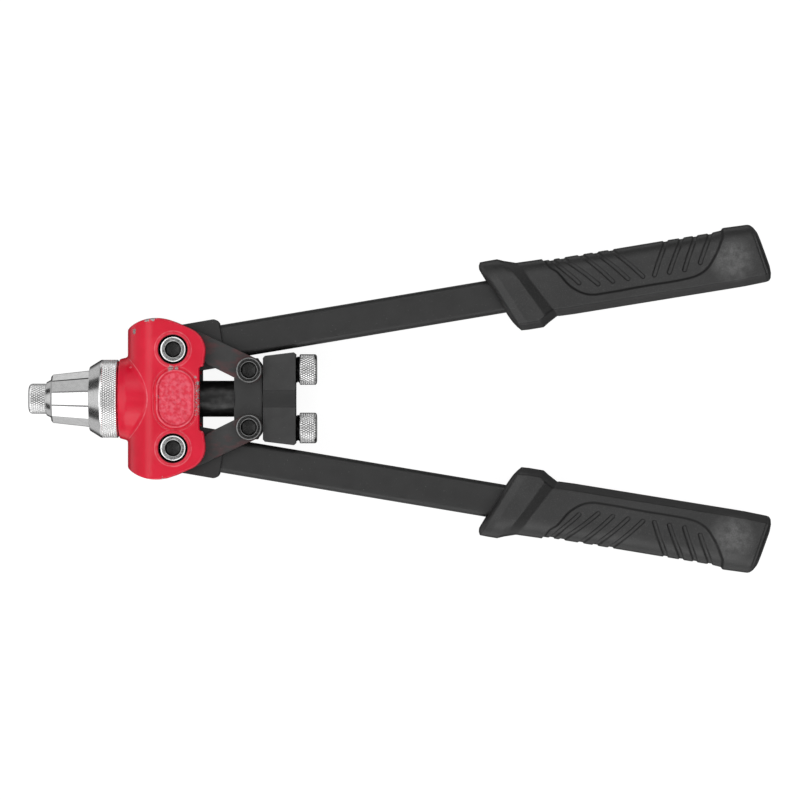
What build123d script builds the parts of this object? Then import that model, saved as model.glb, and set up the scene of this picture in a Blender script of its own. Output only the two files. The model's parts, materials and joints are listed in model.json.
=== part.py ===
from build123d import *
import math
import os

# Hand riveter: a two-handled lever tool that pulls the mandrel of a blind rivet.
#
# Frame: the origin is the centre of the nosepiece's front face, on the tool's axis.
# +X runs from the nose back between the handles, +Y is the right handle's side, and
# +Z comes out of the face that carries the oval boss. Z = 0 is the middle plane.
# All sizes are in millimetres. The handles are drawn closed.

# Handle pivots in the casting's ears
PIVOT_X = 59.0
PIVOT_Y = 19.8
HANDLE_ANGLE = 9.5
RUNNING_GAP = 0.05

# Casting
CASTING_HALF_THICKNESS = 17.2
FACE_RELIEF = 0.4
CASTING_FRONT_X = 40.0
CASTING_REAR_X = 69.7
ROLL_END_X = 50.9
SHOULDER_X = 52.3
SHOULDER_Y = 13.6
SHOULDER_R = 18.8
LOBE_X = 62.4
LOBE_Y = 19.2
LOBE_R = 9.65
CORE_HALF_WIDTH = 9.7
CORE_NOTCH_HALF_WIDTH = 12.9
SLOT_FRONT_X = 48.8
SLOT_HALF_HEIGHT = 9.55
NECK_FRONT_X = 36.6
NECK_FRONT_R = 16.0
NECK_R = 16.8
NECK_FLARE_X = 39.8
STUB_FRONT_X = 29.7
STUB_R = 13.0
BARREL_BORE_R = 8.3
BUSH_SEAT_X = 55.6
BOSS_R = 7.3
COUNTERBORE_R = 5.75
COUNTERBORE_FLOOR_Z = 11.3
OVAL_LENGTH = 23.4
OVAL_WIDTH = 15.5
OVAL_X = 60.0
OVAL_RIM = 0.9
OVAL_MOAT = 1.1
OVAL_MOAT_DEPTH = 0.7

# Fasteners (M6)
SCREW_R = 3.0
HEAD_R = 5.15
HEAD_HEIGHT = 5.2
SOCKET_ACROSS_FLATS = 5.0
SOCKET_DEPTH = 3.0
HEAD_CHAMFER = 0.5
NUT_ACROSS_FLATS = 10.0
NUT_HEIGHT = 4.9
NUT_POCKET_DEPTH = 5.4

# Guide bush behind the barrel
BUSH_OUTER_R = 8.8
BUSH_INNER_R = 7.35

# Nose
NOSE_HEAD_LENGTH = 7.2
NOSE_HEAD_R = 6.13
NOSE_FACE_R = 4.6
NOSE_ROUNDING = 1.4
NOSE_COLLAR_FRONT_R = 6.7
NOSE_COLLAR_REAR_R = 7.8
HOUSING_FRONT_X = 9.2
NOSE_THREAD_R = 5.4
NOSE_THREAD_END_X = 14.0
NOSE_SPIGOT_R = 3.0
NOSE_SPIGOT_END_X = 16.0
RIVET_BORE_R = 1.6
HOUSING_SIDES = 12
HOUSING_FRONT_HALF = 9.7
HOUSING_REAR_HALF = 11.35
HOUSING_CHAMFER = 0.8
HOUSING_WALL_X = 13.2
HOUSING_BORE_R = 8.0
HOUSING_BACK_R = 11.7
HOUSING_FLANGE_R = 12.8
HOUSING_FLANGE_X = 27.0

# Lock ring
RING_FRONT_X = 24.7
RING_REAR_X = 36.2
RING_FRONT_R = 12.9
RING_R = 15.75
RING_KNURL_X = 29.3
RING_LIP_R = 11.9

# Pull rod, jaw case and jaws
ROD_R = 7.3
ROD_FRONT_X = 52.0
ROD_SHOULDER_X = 83.1
ROD_SPIGOT_R = 6.0
ROD_SPIGOT_X = 46.0
ROD_TAIL_R = 5.0
ROD_TAIL_X = 104.0
ROD_BORE_R = 2.5
SPRING_SEAT_R = 4.3
SPRING_SEAT_X = 61.0
CASE_FRONT_X = 26.0
CASE_R = 7.8
CASE_CONE_X = 41.2
JAW_CONE_ANGLE = 10.0
JAW_FRONT_X = 27.5
JAW_REAR_X = 39.0
JAW_INNER_R = 1.7
JAW_GAP = 0.4
JAW_COUNT = 3
JAW_CLEARANCE = 0.03
PUSHER_FRONT_X = 39.05
PUSHER_REAR_X = 42.2
PUSHER_R = 5.5
PUSHER_STEM_R = 2.7
PUSHER_STEM_X = 50.0
PUSHER_BORE_R = 1.8
SPRING_COIL_R = 3.5
SPRING_WIRE_R = 0.5
SPRING_TURNS = 6

# Crosshead, links and their screws
LINK_PIN_X = 89.3
LINK_PIN_Y = 11.5
CROSSHEAD_REAR_X = 94.4
CROSSHEAD_HALF_HEIGHT = 6.2
CROSSHEAD_END_R = 5.3
LINK_Z = 6.35
LINK_THICKNESS = 3.0
LINK_END_R = 5.35
LINK_FAR_R = 4.4
LINK_WAIST_START = 8.2
LINK_WAIST_END = 5.0
LINK_HEAD_Z = 9.45
CRANK_RADIUS = 8.9
CRANK_ANGLE = 16.0
CRANK_PIN_R = 2.0
CRANK_PIN_HALF_LENGTH = 9.3
LINK_HOLE_R = 2.75
LINK_HOLE_SETBACK = 0.35
LINK_HOLE_OFFSET = 0.52

# Nosepiece holder
HOLDER_FRONT_X = 94.75
HOLDER_REAR_X = 107.9
HOLDER_FRONT_HALF_WIDTH = 17.2
HOLDER_REAR_HALF_WIDTH = 18.8
HOLDER_HALF_HEIGHT = 8.5
HOLDER_SPACER_R = 6.0
HOLDER_GROOVE_R = 12.0
HOLDER_GROOVE_HALF_WIDTH = 3.5
HOLDER_CHAMFER = 0.8
HOLDER_HOLE_START_X = 99.5
OUTLET_R = 3.0
SPARE_Y = 11.8
SPARE_THREAD_X = 100.0
SPARE_COLLAR_X = 109.4
SPARE_END_X = 116.4
SPARE_HEAD_R = 6.2
SPARE_EDGE = 0.9
SPARE_BORE_RADII = {"right": 1.25, "left": 1.1}

# Handles, in the handle's own frame: pivot at the origin, +X along the handle,
# +Y away from the tool's axis
CHEEK_R = 9.4
CHEEK_END_U = 19.6
CHEEK_OUTER_V = 9.5
CHEEK_INNER_V = -10.0
CHEEK_INNER_START_U = 6.5
CHEEK_CORNER_R = 2.5
CHEEK_HALF_HEIGHT = 6.2
TUBE_START_U = 13.2
TUBE_END_U = 235.2
TUBE_V = -0.25
TUBE_WIDTH = 14.0
TUBE_THICKNESS = 9.2
TUBE_CORNER_R = 2.4
TUBE_WALL = 1.6
GRIP_HALF_HEIGHT = 10.5
GRIP_EDGE_CHAMFER = 1.0
GRIP_CORNER_R = 1.2
GRIP_OUTLINE = [
    (126.6, 11.8),
    (127.6, 14.6),
    (134.4, 14.6),
    (140.8, 11.9),
    (150.0, 12.0),
    (156.2, 11.3),
    (224.8, 11.3),
    (236.1, 11.8),
    (239.4, 9.3),
    (242.8, -9.2),
    (239.8, -12.5),
    (153.7, -12.0),
    (148.5, -15.6),
    (139.8, -15.6),
    (136.6, -11.7),
]

START = (Align.CENTER, Align.CENTER, Align.MIN)
THROUGH_Z = 10.0


def turned(*outline):
    """Solid of revolution about the tool's axis, from (x, radius) points."""
    return revolve(make_face(Polyline(*outline, close=True)), Axis.X)


def x_bar(radius, x_start, x_end, y=0.0):
    """Round bar along X."""
    return Pos(x_start, y, 0) * Rot(0, 90, 0) * Cylinder(radius, x_end - x_start, align=START)


def z_pin(radius, x, y, z_low, z_high):
    """Round pin along Z."""
    return Pos(x, y, z_low) * Cylinder(radius, z_high - z_low, align=START)


def z_hexagon(across_flats, x, y, z_low, z_high):
    """Hexagonal bar along Z."""
    outline = RegularPolygon(across_flats / 2, 6, major_radius=False)
    return slab(Pos(x, y) * outline, z_low, z_high)


def slab(outline, z_low, z_high):
    """Flat plate of the outline's shape between two heights."""
    return extrude(Pos(0, 0, z_low) * outline, z_high - z_low, dir=(0, 0, 1))


def mirrored(shape):
    """The same piece on the left side of the tool."""
    return mirror(shape, about=Plane.XZ)


def on_right_handle(shape):
    """Move a piece from the handle's own frame to the closed right handle."""
    return Pos(PIVOT_X, PIVOT_Y) * Rot(0, 0, HANDLE_ANGLE) * shape


def on_both_pivots(shape):
    """Two copies of a piece drawn on the right handle's pivot: right and left."""
    return shape + mirrored(shape)


# ---- Casting and what is fixed in it ----

def casting_outline():
    """Two ears joined by a core, seen from above. It runs past the rolled front, which trims it."""
    front_x = SHOULDER_X - SHOULDER_R
    core_length = CASTING_REAR_X - front_x
    outline = Pos(front_x, 0) * Rectangle(core_length, 2 * SHOULDER_Y, align=(Align.MIN, Align.CENTER))
    for side in (1, -1):
        shoulder = Pos(SHOULDER_X, side * SHOULDER_Y) * Circle(SHOULDER_R)
        lobe = Pos(LOBE_X, side * LOBE_Y) * Circle(LOBE_R)
        outline += make_hull(shoulder.edges() + lobe.edges())
    behind_core = Rectangle(SHOULDER_R, 2 * CORE_NOTCH_HALF_WIDTH, align=(Align.MIN, Align.CENTER))
    return outline - Pos(CASTING_REAR_X, 0) * behind_core


def oval(margin=0.0):
    """Outline of the oval boss on the casting's face, grown by a margin."""
    return Pos(OVAL_X, 0) * SlotOverall(OVAL_LENGTH + 2 * margin, OVAL_WIDTH + 2 * margin, rotation=90)


def casting_profile():
    """The casting seen from the side: an elliptical rolled front that runs into two flat faces."""
    roll = Ellipse(ROLL_END_X - CASTING_FRONT_X, CASTING_HALF_THICKNESS)
    flats_length = CASTING_REAR_X + 10 - ROLL_END_X
    flats = Rectangle(flats_length, 2 * CASTING_HALF_THICKNESS, align=(Align.MIN, Align.CENTER))
    return Pos(ROLL_END_X, 0) * (roll + flats)


def casting_solid():
    """The casting's outside, before anything is bored or slotted."""
    half = CASTING_HALF_THICKNESS
    side_view = Plane.XZ * casting_profile()
    body = extrude(side_view, 40, both=True) & slab(casting_outline(), -2 * half, 2 * half)
    neck_back_x = SLOT_FRONT_X + 2
    neck = turned(
        (NECK_FRONT_X, 0),
        (NECK_FRONT_X, NECK_FRONT_R),
        (NECK_FLARE_X, NECK_R),
        (neck_back_x, NECK_R),
        (neck_back_x, 0),
    )
    body += neck + x_bar(STUB_R, STUB_FRONT_X, NECK_FRONT_X)
    raised = half + FACE_RELIEF
    body += slab(oval(), 0, raised)
    for side in (1, -1):
        body += z_pin(BOSS_R, PIVOT_X, side * PIVOT_Y, SLOT_HALF_HEIGHT, raised)
    return body


def make_body_casting():
    half = CASTING_HALF_THICKNESS
    body = casting_solid()
    body -= slab(oval(OVAL_MOAT) - oval(), half - OVAL_MOAT_DEPTH, half + 1)
    body -= slab(oval(-OVAL_RIM), half - FACE_RELIEF, half + 1)
    slot_depth = 30
    for side in (1, -1):
        slot_y = side * (CORE_HALF_WIDTH + slot_depth / 2)
        slot = Box(slot_depth, slot_depth, 2 * SLOT_HALF_HEIGHT, align=(Align.MIN, Align.CENTER, Align.CENTER))
        body -= Pos(SLOT_FRONT_X, slot_y, 0) * slot
        pivot_y = side * PIVOT_Y
        body -= z_pin(SCREW_R + RUNNING_GAP, PIVOT_X, pivot_y, -half - 1, half + 1)
        body -= z_pin(COUNTERBORE_R, PIVOT_X, pivot_y, COUNTERBORE_FLOOR_Z, half + 1)
        body -= z_hexagon(NUT_ACROSS_FLATS, PIVOT_X, pivot_y, -half - 1, -half + NUT_POCKET_DEPTH)
    body -= x_bar(BARREL_BORE_R, STUB_FRONT_X - 1, BUSH_SEAT_X)
    body -= x_bar(BUSH_OUTER_R, BUSH_SEAT_X, CASTING_REAR_X + 1)
    return body


def make_rod_guide_bush():
    return turned(
        (BUSH_SEAT_X, BUSH_INNER_R),
        (BUSH_SEAT_X, BUSH_OUTER_R),
        (CASTING_REAR_X, BUSH_OUTER_R),
        (CASTING_REAR_X, BUSH_INNER_R),
    )


def make_screw(x, y, head_z, shank_end_z):
    """Socket-head screw pointing down, with the underside of its head at head_z."""
    head_top_z = head_z + HEAD_HEIGHT
    head = chamfer(z_pin(HEAD_R, x, y, head_z, head_top_z).edges().sort_by(Axis.Z)[-1], HEAD_CHAMFER)
    socket = z_hexagon(SOCKET_ACROSS_FLATS, x, y, head_top_z - SOCKET_DEPTH, head_top_z + 1)
    return head - socket + z_pin(SCREW_R, x, y, shank_end_z, head_z)


def make_nut(x, y, z_low):
    """Plain hexagonal nut, touching its screw's thread."""
    z_high = z_low + NUT_HEIGHT
    return z_hexagon(NUT_ACROSS_FLATS, x, y, z_low, z_high) - z_pin(SCREW_R, x, y, z_low, z_high)


def make_pivot_screws():
    shank_end_z = -CASTING_HALF_THICKNESS + 0.2
    return on_both_pivots(make_screw(PIVOT_X, PIVOT_Y, COUNTERBORE_FLOOR_Z, shank_end_z))


def make_pivot_nuts():
    nut_z = -CASTING_HALF_THICKNESS + NUT_POCKET_DEPTH - NUT_HEIGHT
    return on_both_pivots(make_nut(PIVOT_X, PIVOT_Y, nut_z))


# ---- Nose ----

def make_nose_housing():
    """Twelve-sided sleeve with a flange that the lock ring clamps against the stub."""
    front = Plane((HOUSING_FRONT_X, 0, 0), x_dir=(0, 1, 0), z_dir=(1, 0, 0))
    rear = Plane((RING_FRONT_X, 0, 0), x_dir=(0, 1, 0), z_dir=(1, 0, 0))
    half_turn = 180 / HOUSING_SIDES
    front_outline = RegularPolygon(HOUSING_FRONT_HALF, HOUSING_SIDES, major_radius=False, rotation=half_turn)
    rear_outline = RegularPolygon(HOUSING_REAR_HALF, HOUSING_SIDES, major_radius=False, rotation=half_turn)
    sleeve = loft([front * front_outline, rear * rear_outline])
    chamfer_back_x = HOUSING_FRONT_X + HOUSING_CHAMFER
    corner_r = HOUSING_REAR_HALF + 2
    front_trim = turned(
        (HOUSING_FRONT_X - 1, HOUSING_FRONT_HALF - HOUSING_CHAMFER),
        (HOUSING_FRONT_X, HOUSING_FRONT_HALF - HOUSING_CHAMFER),
        (chamfer_back_x, HOUSING_FRONT_HALF + 0.1),
        (chamfer_back_x, corner_r),
        (HOUSING_FRONT_X - 1, corner_r),
    )
    sleeve -= front_trim
    back = turned(
        (RING_FRONT_X, 0),
        (RING_FRONT_X, HOUSING_BACK_R),
        (HOUSING_FLANGE_X, HOUSING_BACK_R),
        (HOUSING_FLANGE_X, HOUSING_FLANGE_R),
        (STUB_FRONT_X, HOUSING_FLANGE_R),
        (STUB_FRONT_X, 0),
    )
    bore = x_bar(HOUSING_BORE_R, HOUSING_WALL_X, STUB_FRONT_X + 1)
    thread = x_bar(NOSE_THREAD_R + RUNNING_GAP, HOUSING_FRONT_X - 1, HOUSING_WALL_X + 1)
    return sleeve + back - bore - thread


def make_lock_ring():
    """Knurled ring that screws onto the casting's stub."""
    thread_r = STUB_R + RUNNING_GAP
    return turned(
        (RING_FRONT_X, RING_LIP_R),
        (RING_FRONT_X, RING_FRONT_R),
        (RING_KNURL_X, RING_R),
        (RING_REAR_X, RING_R),
        (RING_REAR_X, thread_r),
        (HOUSING_FLANGE_X, thread_r),
        (HOUSING_FLANGE_X, RING_LIP_R),
    )


def make_nosepiece():
    """Knurled head, collar, thread and the spigot that opens the jaws."""
    return turned(
        (0, RIVET_BORE_R),
        (0, NOSE_FACE_R),
        (NOSE_ROUNDING, NOSE_HEAD_R),
        (NOSE_HEAD_LENGTH, NOSE_HEAD_R),
        (NOSE_HEAD_LENGTH, NOSE_COLLAR_FRONT_R),
        (HOUSING_FRONT_X, NOSE_COLLAR_REAR_R),
        (HOUSING_FRONT_X, NOSE_THREAD_R),
        (NOSE_THREAD_END_X, NOSE_THREAD_R),
        (NOSE_THREAD_END_X, NOSE_SPIGOT_R),
        (NOSE_SPIGOT_END_X, NOSE_SPIGOT_R),
        (NOSE_SPIGOT_END_X, RIVET_BORE_R),
    )


# ---- Pull rod and what rides with it ----

def cone_radius(x):
    """Radius of the jaw case's inner cone."""
    return ROD_SPIGOT_R - (CASE_CONE_X - x) * math.tan(math.radians(JAW_CONE_ANGLE))


def make_drawbar():
    return turned(
        (ROD_SPIGOT_X, SPRING_SEAT_R),
        (ROD_SPIGOT_X, ROD_SPIGOT_R),
        (ROD_FRONT_X, ROD_SPIGOT_R),
        (ROD_FRONT_X, ROD_R),
        (ROD_SHOULDER_X, ROD_R),
        (ROD_SHOULDER_X, ROD_TAIL_R),
        (ROD_TAIL_X, ROD_TAIL_R),
        (ROD_TAIL_X, ROD_BORE_R),
        (SPRING_SEAT_X, ROD_BORE_R),
        (SPRING_SEAT_X, SPRING_SEAT_R),
    )


def make_jaw_case():
    return turned(
        (CASE_FRONT_X, cone_radius(CASE_FRONT_X)),
        (CASE_FRONT_X, CASE_R),
        (ROD_FRONT_X, CASE_R),
        (ROD_FRONT_X, ROD_SPIGOT_R),
        (CASE_CONE_X, ROD_SPIGOT_R),
    )


def make_jaw(angle):
    """One of three wedge jaws, at an angle about the axis from +Y towards +Z."""
    cone = turned(
        (JAW_FRONT_X, JAW_INNER_R),
        (JAW_FRONT_X, cone_radius(JAW_FRONT_X) - JAW_CLEARANCE),
        (JAW_REAR_X, cone_radius(JAW_REAR_X) - JAW_CLEARANCE),
        (JAW_REAR_X, JAW_INNER_R),
    )
    half_sector = math.pi / JAW_COUNT
    apex = JAW_GAP / 2 / math.sin(half_sector)
    reach = 3 * ROD_SPIGOT_R
    edge_y = apex + reach * math.cos(half_sector)
    edge_z = reach * math.sin(half_sector)
    sector = make_face(Polyline((apex, 0), (edge_y, edge_z), (reach, 0), (edge_y, -edge_z), close=True))
    end = Plane((CASE_FRONT_X, 0, 0), x_dir=(0, 1, 0), z_dir=(1, 0, 0))
    wedge = extrude(end * sector, CASE_CONE_X - CASE_FRONT_X, dir=(1, 0, 0))
    return Rot(angle, 0, 0) * (cone & wedge)


def make_jaw_pusher():
    return turned(
        (PUSHER_FRONT_X, PUSHER_BORE_R),
        (PUSHER_FRONT_X, PUSHER_R),
        (PUSHER_REAR_X, PUSHER_R),
        (PUSHER_REAR_X, PUSHER_STEM_R),
        (PUSHER_STEM_X, PUSHER_STEM_R),
        (PUSHER_STEM_X, PUSHER_BORE_R),
    )


def make_jaw_spring():
    """Round-wire spring between the pusher and the seat inside the pull rod."""
    first_x = PUSHER_REAR_X + SPRING_WIRE_R + 0.05
    last_x = SPRING_SEAT_X - SPRING_WIRE_R - 0.05
    height = last_x - first_x
    coil = Helix(height / SPRING_TURNS, height, SPRING_COIL_R)
    wire_section = Plane(coil @ 0, z_dir=coil % 0) * Circle(SPRING_WIRE_R)
    return Pos(first_x, 0, 0) * Rot(0, 90, 0) * sweep(wire_section, coil)


def make_crosshead():
    """Flat plate on the rod's tail, between the link plates."""
    middle_x = (ROD_SHOULDER_X + CROSSHEAD_REAR_X) / 2
    outline = Pos(middle_x, 0) * Rectangle(CROSSHEAD_REAR_X - ROD_SHOULDER_X, 2 * LINK_PIN_Y)
    for side in (1, -1):
        outline += Pos(LINK_PIN_X, side * LINK_PIN_Y) * Circle(CROSSHEAD_END_R)
    plate = slab(outline, -CROSSHEAD_HALF_HEIGHT, CROSSHEAD_HALF_HEIGHT)
    for side in (1, -1):
        plate -= z_pin(SCREW_R, LINK_PIN_X, side * LINK_PIN_Y, -THROUGH_Z, THROUGH_Z)
    return plate - x_bar(ROD_TAIL_R, ROD_SHOULDER_X - 1, CROSSHEAD_REAR_X + 1)


def make_nosepiece_holder():
    """Block on the end of the rod that stores two nosepieces and lets spent mandrels out."""
    outline = make_face(Polyline(
        (HOLDER_FRONT_X, HOLDER_FRONT_HALF_WIDTH),
        (HOLDER_REAR_X, HOLDER_REAR_HALF_WIDTH),
        (HOLDER_REAR_X, -HOLDER_REAR_HALF_WIDTH),
        (HOLDER_FRONT_X, -HOLDER_FRONT_HALF_WIDTH),
        close=True,
    ))
    block = slab(outline, -HOLDER_HALF_HEIGHT, HOLDER_HALF_HEIGHT)
    block = chamfer(block.edges().filter_by(Axis.Z), HOLDER_CHAMFER)
    sagitta = HOLDER_GROOVE_R - math.sqrt(HOLDER_GROOVE_R**2 - HOLDER_GROOVE_HALF_WIDTH**2)
    groove_z = HOLDER_HALF_HEIGHT - sagitta + HOLDER_GROOVE_R
    for side in (1, -1):
        groove = x_bar(HOLDER_GROOVE_R, HOLDER_FRONT_X - 1, HOLDER_REAR_X + 1)
        block -= Pos(0, 0, side * groove_z) * groove
    block += x_bar(HOLDER_SPACER_R, CROSSHEAD_REAR_X, HOLDER_FRONT_X)
    block -= x_bar(ROD_TAIL_R, CROSSHEAD_REAR_X - 1, ROD_TAIL_X)
    block -= x_bar(OUTLET_R, ROD_TAIL_X, HOLDER_REAR_X + 1)
    for side in (1, -1):
        block -= x_bar(NOSE_THREAD_R + RUNNING_GAP, HOLDER_HOLE_START_X, HOLDER_REAR_X + 1, side * SPARE_Y)
    return block


def make_spare_nosepiece(side_name):
    """Nosepiece of another bore, stored with its thread in the holder."""
    bore_r = SPARE_BORE_RADII[side_name]
    piece = turned(
        (SPARE_THREAD_X, bore_r),
        (SPARE_THREAD_X, NOSE_THREAD_R),
        (SPARE_COLLAR_X, NOSE_THREAD_R),
        (SPARE_COLLAR_X, SPARE_HEAD_R),
        (SPARE_END_X - SPARE_EDGE, SPARE_HEAD_R),
        (SPARE_END_X, SPARE_HEAD_R - SPARE_EDGE),
        (SPARE_END_X, bore_r),
    )
    side = 1 if side_name == "right" else -1
    return Pos(0, side * SPARE_Y, 0) * piece


def make_link_screws():
    shank_end_z = -LINK_HEAD_Z - NUT_HEIGHT
    return on_both_pivots(make_screw(LINK_PIN_X, LINK_PIN_Y, LINK_HEAD_Z, shank_end_z))


def make_link_nuts():
    return on_both_pivots(make_nut(LINK_PIN_X, LINK_PIN_Y, -LINK_HEAD_Z - NUT_HEIGHT))


def make_link(z_low):
    """Link plate from the crosshead to the right handle's crank pin."""
    crank = math.radians(CRANK_ANGLE)
    far_x = PIVOT_X + CRANK_RADIUS * math.cos(crank) - LINK_PIN_X
    far_y = PIVOT_Y + CRANK_RADIUS * math.sin(crank) - LINK_PIN_Y
    length = math.hypot(far_x, far_y)
    direction = math.degrees(math.atan2(far_y, far_x))
    hole_u = length - LINK_HOLE_SETBACK
    far_end = Pos(hole_u, -LINK_HOLE_OFFSET) * Circle(LINK_FAR_R)
    near_end = Circle(LINK_END_R)
    waist_start_u = length - LINK_WAIST_START
    waist_end_u = length - LINK_WAIST_END
    waist_v = LINK_FAR_R - LINK_HOLE_OFFSET
    bar_part = make_face(Polyline(
        (0, LINK_END_R),
        (waist_start_u, LINK_END_R),
        (waist_end_u, waist_v),
        (hole_u, waist_v),
        (hole_u, -LINK_FAR_R - LINK_HOLE_OFFSET),
        (0, -LINK_END_R),
        close=True,
    ))
    outline = near_end + bar_part + far_end
    outline -= Circle(SCREW_R + RUNNING_GAP)
    outline -= Pos(hole_u, -LINK_HOLE_OFFSET) * Circle(LINK_HOLE_R)
    placed = Pos(LINK_PIN_X, LINK_PIN_Y) * Rot(0, 0, direction) * outline
    return slab(placed, z_low, z_low + LINK_THICKNESS)


# ---- Handles ----

def make_handle_socket():
    """Cheek that turns in the casting's slot and holds the tube."""
    cheek = make_face(Polyline(
        (0, CHEEK_R),
        (CHEEK_END_U, CHEEK_OUTER_V),
        (CHEEK_END_U, CHEEK_INNER_V),
        (CHEEK_INNER_START_U, CHEEK_INNER_V),
        (0, -CHEEK_R),
        close=True,
    ))
    cheek = fillet(cheek.vertices().sort_by(Axis.X)[-2:], CHEEK_CORNER_R)
    outline = cheek + Circle(CHEEK_R)
    socket = slab(outline, -CHEEK_HALF_HEIGHT, CHEEK_HALF_HEIGHT)
    socket -= tube_outside()
    socket -= z_pin(SCREW_R + RUNNING_GAP, 0, 0, -THROUGH_Z, THROUGH_Z)
    crank_x, crank_y = crank_pin_place()
    return socket - z_pin(CRANK_PIN_R, crank_x, crank_y, -THROUGH_Z, THROUGH_Z)


def crank_pin_place():
    """Centre of the crank pin in the handle's own frame."""
    angle = math.radians(CRANK_ANGLE - HANDLE_ANGLE)
    return CRANK_RADIUS * math.cos(angle), CRANK_RADIUS * math.sin(angle)


def make_crank_pin():
    crank_x, crank_y = crank_pin_place()
    return z_pin(CRANK_PIN_R, crank_x, crank_y, -CRANK_PIN_HALF_LENGTH, CRANK_PIN_HALF_LENGTH)


def tube_outside():
    """The handle tube's outer shape as a full solid."""
    end = Plane((TUBE_START_U, TUBE_V, 0), x_dir=(0, 1, 0), z_dir=(1, 0, 0))
    section = RectangleRounded(TUBE_WIDTH, TUBE_THICKNESS, TUBE_CORNER_R)
    return extrude(end * section, TUBE_END_U - TUBE_START_U, dir=(1, 0, 0))


def make_handle_tube():
    end = Plane((TUBE_START_U, TUBE_V, 0), x_dir=(0, 1, 0), z_dir=(1, 0, 0))
    hollow_width = TUBE_WIDTH - 2 * TUBE_WALL
    hollow_thickness = TUBE_THICKNESS - 2 * TUBE_WALL
    section = RectangleRounded(hollow_width, hollow_thickness, TUBE_CORNER_R - TUBE_WALL)
    hollow = extrude(end * section, TUBE_END_U - TUBE_START_U, dir=(1, 0, 0))
    return tube_outside() - hollow


def make_grip():
    """Moulded grip with a finger guard, closed over the end of the tube."""
    outline = make_face(Polyline(*GRIP_OUTLINE, close=True))
    outline = fillet(outline.vertices(), GRIP_CORNER_R)
    grip = slab(outline, -GRIP_HALF_HEIGHT, GRIP_HALF_HEIGHT)
    flat_faces = grip.faces().filter_by(Axis.Z)
    grip = chamfer(flat_faces[0].edges() + flat_faces[-1].edges(), GRIP_EDGE_CHAMFER)
    return grip - tube_outside()


def make_parts():
    """Every piece of the tool, by node name."""
    parts = {
        "body_casting": make_body_casting(),
        "rod_guide_bush": make_rod_guide_bush(),
        "pivot_screws": make_pivot_screws(),
        "pivot_nuts": make_pivot_nuts(),
        "nose_housing": make_nose_housing(),
        "lock_ring": make_lock_ring(),
        "nosepiece": make_nosepiece(),
        "drawbar": make_drawbar(),
        "jaw_case": make_jaw_case(),
        "jaw_pusher": make_jaw_pusher(),
        "jaw_spring": make_jaw_spring(),
        "crosshead": make_crosshead(),
        "nosepiece_holder": make_nosepiece_holder(),
        "link_screws": make_link_screws(),
        "link_nuts": make_link_nuts(),
    }
    for number in range(JAW_COUNT):
        parts[f"jaw_{number + 1}"] = make_jaw(90 + number * 360 / JAW_COUNT)
    for side_name in ("right", "left"):
        parts[f"spare_nosepiece_{side_name}"] = make_spare_nosepiece(side_name)
    right_hand = {
        "link_front": make_link(LINK_Z),
        "link_back": make_link(-LINK_Z - LINK_THICKNESS),
        "handle_socket": on_right_handle(make_handle_socket()),
        "handle_tube": on_right_handle(make_handle_tube()),
        "grip": on_right_handle(make_grip()),
        "crank_pin": on_right_handle(make_crank_pin()),
    }
    for name, shape in right_hand.items():
        parts[f"right_{name}"] = shape
        parts[f"left_{name}"] = mirrored(shape)
    return parts


os.makedirs("parts", exist_ok=True)
for node, solid in make_parts().items():
    export_step(solid, f"parts/{node}.step")
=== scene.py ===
import json
import math

import bmesh
import bpy
import numpy as np
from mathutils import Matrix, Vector, noise


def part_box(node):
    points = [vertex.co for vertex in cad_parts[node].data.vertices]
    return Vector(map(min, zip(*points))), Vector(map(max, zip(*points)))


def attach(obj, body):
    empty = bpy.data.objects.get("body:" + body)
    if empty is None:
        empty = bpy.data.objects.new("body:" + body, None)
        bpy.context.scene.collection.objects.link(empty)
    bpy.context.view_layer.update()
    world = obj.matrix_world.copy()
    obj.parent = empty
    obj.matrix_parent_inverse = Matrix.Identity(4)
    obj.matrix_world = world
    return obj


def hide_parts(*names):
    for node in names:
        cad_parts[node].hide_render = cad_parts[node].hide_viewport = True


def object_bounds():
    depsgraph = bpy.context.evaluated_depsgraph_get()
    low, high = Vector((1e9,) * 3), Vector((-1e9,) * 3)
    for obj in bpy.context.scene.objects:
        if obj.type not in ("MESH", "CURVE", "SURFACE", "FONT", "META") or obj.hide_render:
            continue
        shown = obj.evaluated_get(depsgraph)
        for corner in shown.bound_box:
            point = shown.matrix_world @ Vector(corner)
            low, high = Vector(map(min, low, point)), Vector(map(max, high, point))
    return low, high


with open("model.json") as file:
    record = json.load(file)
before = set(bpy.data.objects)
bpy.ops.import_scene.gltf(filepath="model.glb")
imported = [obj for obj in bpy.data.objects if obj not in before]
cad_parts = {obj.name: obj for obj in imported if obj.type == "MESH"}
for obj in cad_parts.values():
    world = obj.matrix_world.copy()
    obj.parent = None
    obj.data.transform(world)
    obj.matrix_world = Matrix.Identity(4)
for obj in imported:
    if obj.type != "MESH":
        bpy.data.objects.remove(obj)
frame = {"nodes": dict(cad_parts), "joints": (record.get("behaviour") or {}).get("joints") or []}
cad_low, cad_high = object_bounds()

# Looks of the hand riveter. The frame's metres are used throughout; lengths written in
# millimetres are multiplied by MM. +X runs from the nose to the handles, +Y is the right
# handle's side and +Z comes out of the face with the oval boss.
MM = 0.001
RIGHT_PIVOT = next(Vector(j["pos_m"]) for j in frame["joints"] if j["name"] == "right_handle_open")
PIVOT_X = RIGHT_PIVOT.x / MM
PIVOT_Y = RIGHT_PIVOT.y / MM
LINK_PIN = next(Vector(j["pos_m"]) for j in frame["joints"] if j["name"] == "right_link_swing")
HANDLE_ANGLE = math.radians(9.5)
SIDES = {"right": 1, "left": -1}

# Camera, straight above the tool
CAMERA_HEIGHT = 1.8
FRAME_WIDTH = 0.3233
SENSOR = 36.0
VIEW_Y = -0.0005

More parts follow.
